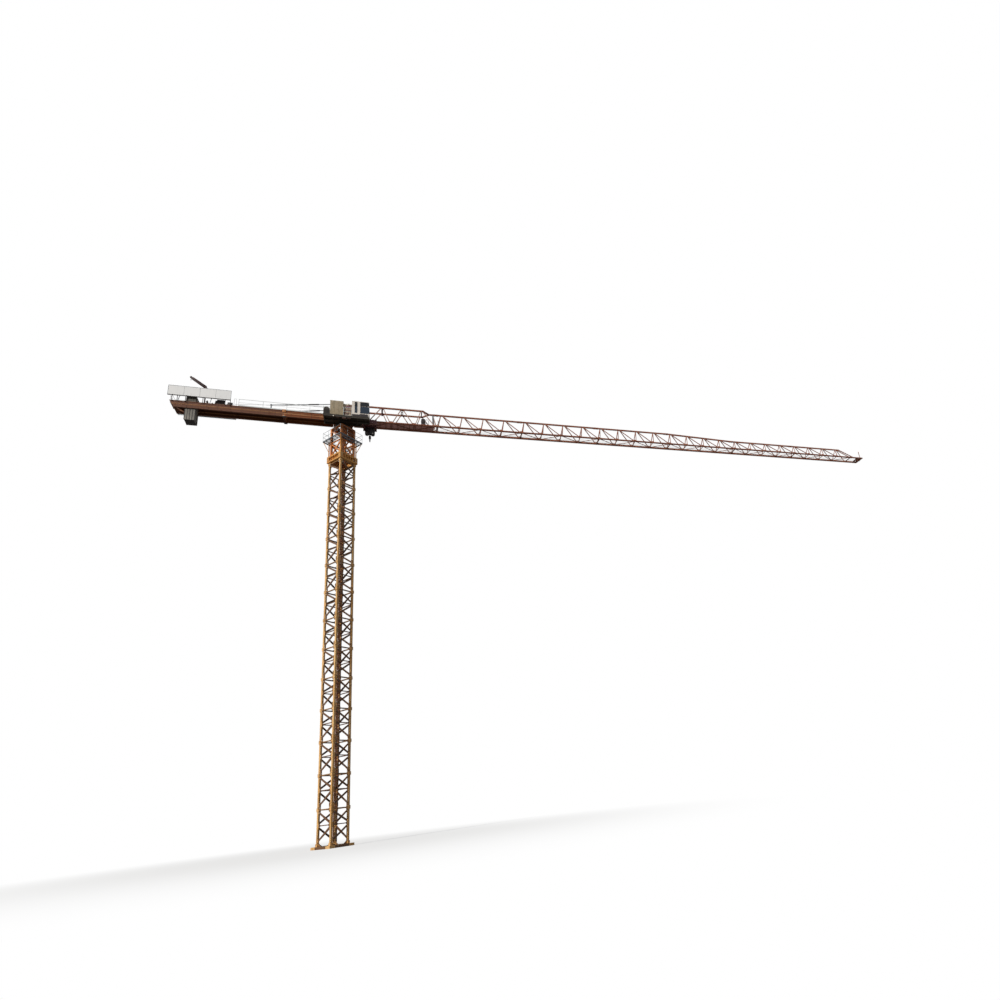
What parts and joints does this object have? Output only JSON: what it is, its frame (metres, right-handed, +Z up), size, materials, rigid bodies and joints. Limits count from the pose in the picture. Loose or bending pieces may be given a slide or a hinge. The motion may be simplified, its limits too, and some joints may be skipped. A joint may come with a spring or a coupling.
{
  "type": "flat-top tower crane, 1:10 scale model",
  "caption": "Flat-top tower crane at one tenth size: lattice mast on a bolted base, turning jib with trolley and hook block, counter-jib, cab and counterweights.",
  "frame": {"origin": "on the slewing axis, at the underside of the base frame", "axes": "+Z up along the slewing axis, +X out along the jib, which rises 1.15 degrees from the mast to its tip, +Y to the side away from the cab"},
  "size_m": [8.8638, 0.4285, 4.7008],
  "materials": {
    "mast_paint": "golden yellow paint, weathered",
    "jib_paint": "burnt orange paint, weathered",
    "red_paint": "dark red paint",
    "white_paint": "cream white paint",
    "cabinet_paint": "beige olive paint",
    "dark_paint": "near black paint",
    "galvanised": "galvanised steel",
    "bare_steel": "greased machined steel",
    "wire_rope": "greased wire rope",
    "concrete": "cast concrete",
    "cab_panes": "dark tinted glass"
  },
  "bodies": {
    "root": {"base_frame": "mast_paint", "mast_section_01": "mast_paint", "mast_section_02": "mast_paint", "mast_section_03": "mast_paint", "mast_section_04": "mast_paint", "mast_section_05": "mast_paint", "mast_section_06": "mast_paint", "mast_section_07": "mast_paint", "mast_section_08": "mast_paint", "mast_section_09": "mast_paint", "mast_section_10": "mast_paint", "mast_section_11": "mast_paint", "mast_section_12": "mast_paint", "mast_section_13": "mast_paint", "mast_collar": "mast_paint", "tower_head": "mast_paint", "ring_platform": "galvanised", "ring_guard_rail": "galvanised", "lower_race": "bare_steel"},
    "upperworks": {"upper_race": "bare_steel", "slewing_table": "dark_paint", "head_frame": "jib_paint", "jib_section_1": "jib_paint", "jib_section_2": "jib_paint", "jib_section_3": "jib_paint", "jib_section_4": "jib_paint", "jib_section_5": "jib_paint", "jib_section_6": "jib_paint", "jib_section_7": "jib_paint", "jib_tip": "jib_paint", "jib_deck": "jib_paint", "trolley_winch": "dark_paint", "counter_jib_inner": "jib_paint", "counter_jib_outer": "jib_paint", "counterweights": "concrete", "counter_guard_rail": "galvanised", "counter_ties": "red_paint", "sign_frame": "dark_paint", "sign_board": "white_paint", "hoist_winch": "dark_paint", "hoist_drum": "dark_paint", "derrick_post": "red_paint", "cab_platform": "dark_paint", "cab_shell": "white_paint", "cab_glass": "cab_panes", "control_cabinet": "cabinet_paint", "resistor_box": "dark_paint", "platform_rail": "galvanised", "head_rope_wheels": "bare_steel", "hoist_rope": "wire_rope", "far_walkway": "galvanised"},
    "trolley": {"trolley_frame": "dark_paint", "trolley_wheels": "bare_steel", "trolley_rope_wheels": "bare_steel"},
    "hook_block": {"hook_block": "dark_paint", "block_rope_wheels": "bare_steel", "rope_falls": "wire_rope"},
    "hook": {"hook": "bare_steel"},
    "derrick": {"derrick_boom": "red_paint"}
  },
  "joints": [
    {"name": "slew", "type": "hinge", "parent": "root", "child": "upperworks", "pos_m": [0, 0, 4.2592], "axis": [0, 0, 1], "continuous": true},
    {"name": "trolley_travel", "type": "slide", "parent": "upperworks", "child": "trolley", "axis": [0.9998, 0, 0.0201], "range_m": [0, 6.67]},
    {"name": "hoist", "type": "slide", "parent": "trolley", "child": "hook_block", "axis": [0, 0, 1], "range_m": [-4.1, 0], "deforming": ["rope_falls"]},
    {"name": "hook_swivel", "type": "hinge", "parent": "hook_block", "child": "hook", "pos_m": [0.27739, 0, 4.14042], "axis": [0, 0, 1], "continuous": true},
    {"name": "derrick_slew", "type": "hinge", "parent": "upperworks", "child": "derrick", "pos_m": [-1.316, -0.056, 4.5653], "axis": [0, 0, 1], "continuous": true}
  ]
}
